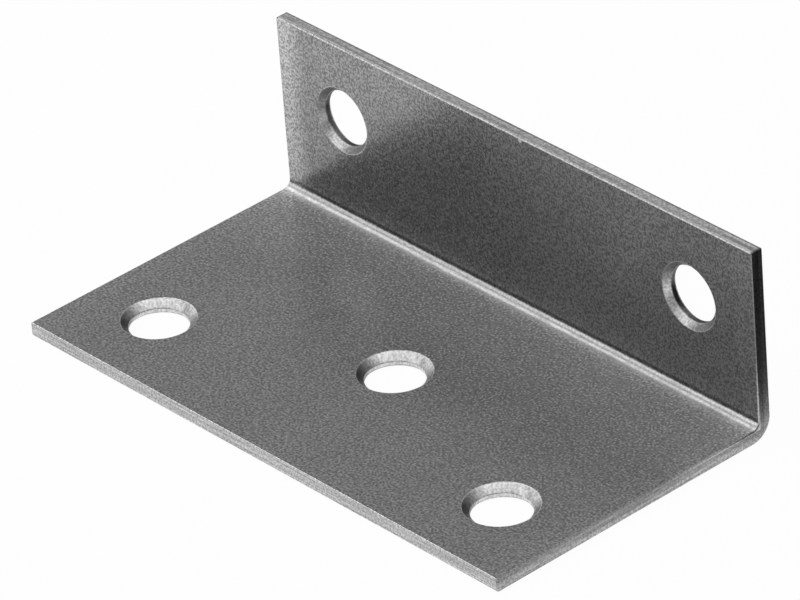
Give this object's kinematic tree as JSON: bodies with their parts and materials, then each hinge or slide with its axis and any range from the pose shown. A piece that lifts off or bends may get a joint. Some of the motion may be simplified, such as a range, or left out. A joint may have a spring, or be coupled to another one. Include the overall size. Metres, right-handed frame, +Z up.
{
  "type": "angle bracket",
  "caption": "Sheet steel folded square into a wide base flange and a narrow upright flange, with countersunk screw holes for joining two parts at a corner.",
  "frame": {"origin": "centre of the bounding box, on the underside of the base flange", "axes": "+X along the fold, +Y towards the back face of the upright flange, +Z up out of the base"},
  "size_m": [0.075, 0.04, 0.0235],
  "materials": {
    "bare_steel": "matt, fine mottled grain, uncoated"
  },
  "bodies": {
    "root": {"bracket": "bare_steel"}
  },
  "joints": []
}
